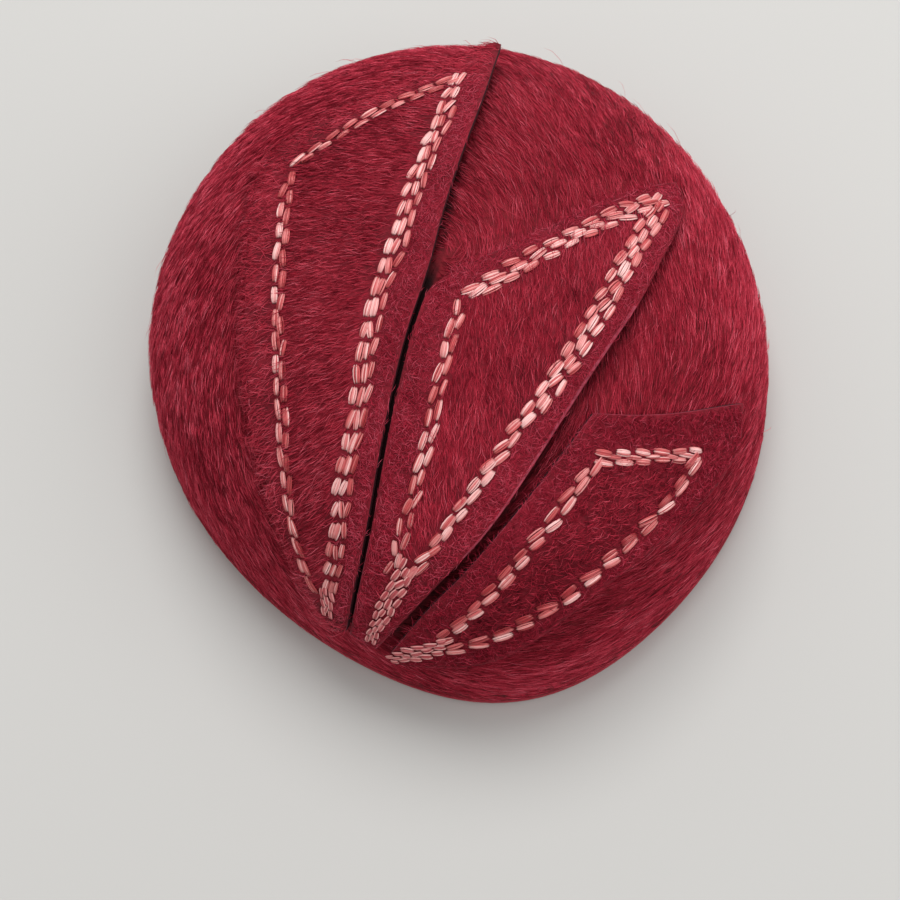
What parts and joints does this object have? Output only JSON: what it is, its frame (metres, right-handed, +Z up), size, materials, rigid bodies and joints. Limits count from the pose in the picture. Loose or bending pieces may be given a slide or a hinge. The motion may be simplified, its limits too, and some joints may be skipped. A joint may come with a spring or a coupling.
{
  "type": "brimless felt cap with embroidered felt leaves",
  "caption": "Small brimless cap of long-haired felt with overlapping embroidered felt leaves that fan over the crown from a gather near the front edge.",
  "frame": {"origin": "under the middle of the cap's box, on the surface that the rim stands on", "axes": "+Z up through the crown, -Y to the front of the cap, +X to the wearer's left as seen from the front, so that the leaves fan towards +X and +Y from a gather at -X -Y"},
  "size_m": [0.1488, 0.1658, 0.0659],
  "materials": {
    "long_haired_felt": "burgundy velour fur felt with a long brushed nap that swirls round the crown",
    "leaf_felt": "burgundy velour fur felt, brushed inside the embroidery and shorter and duller along the cut edges",
    "embroidery_thread": "satin stranded thread, variegated from dusky pink to salmon red"
  },
  "bodies": {
    "root": {"crown": "long_haired_felt", "leaf_left": "leaf_felt", "leaf_middle": "leaf_felt", "leaf_right": "leaf_felt"}
  },
  "joints": []
}
